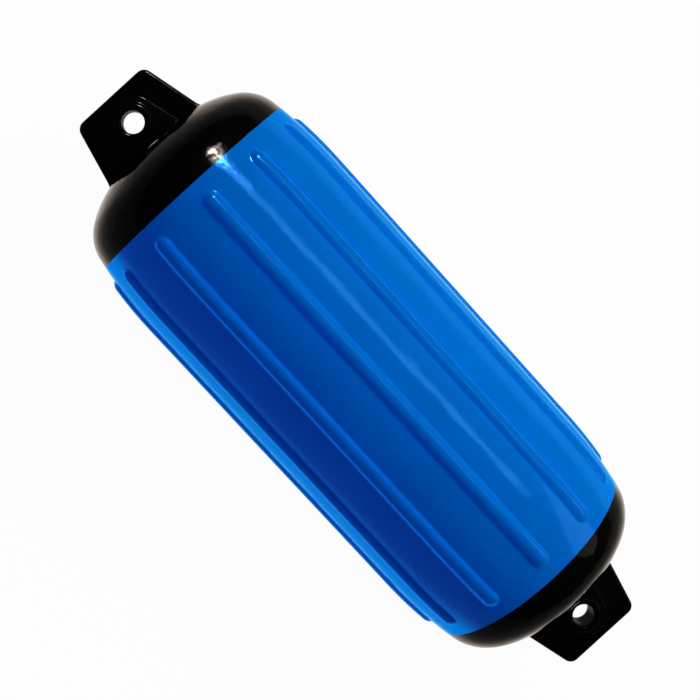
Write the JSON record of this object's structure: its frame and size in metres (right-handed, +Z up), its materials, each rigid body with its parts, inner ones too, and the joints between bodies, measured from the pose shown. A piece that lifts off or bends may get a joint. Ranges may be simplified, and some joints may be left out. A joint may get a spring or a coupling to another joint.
{
  "type": "boat fender",
  "caption": "Cylindrical boat fender: a beaded blue vinyl barrel with domed black ends, an eye tab at each end for a line, and a needle valve in one end.",
  "frame": {"origin": "on the surface that the fender lies on, under its middle", "axes": "+X along the fender from one eye to the other, +Z up from the surface that it lies on; the tabs lean 18 degrees about X, because the fender lies on two neighbouring beads"},
  "size_m": [0.7626, 0.2544, 0.2544],
  "materials": {
    "vinyl": "gloss moulded vinyl, blue along the barrel and black on the domed ends and tabs",
    "valve_rubber": "dull moulded rubber"
  },
  "bodies": {
    "root": {"fender_body": "vinyl", "valve_plug": "valve_rubber"}
  },
  "joints": []
}
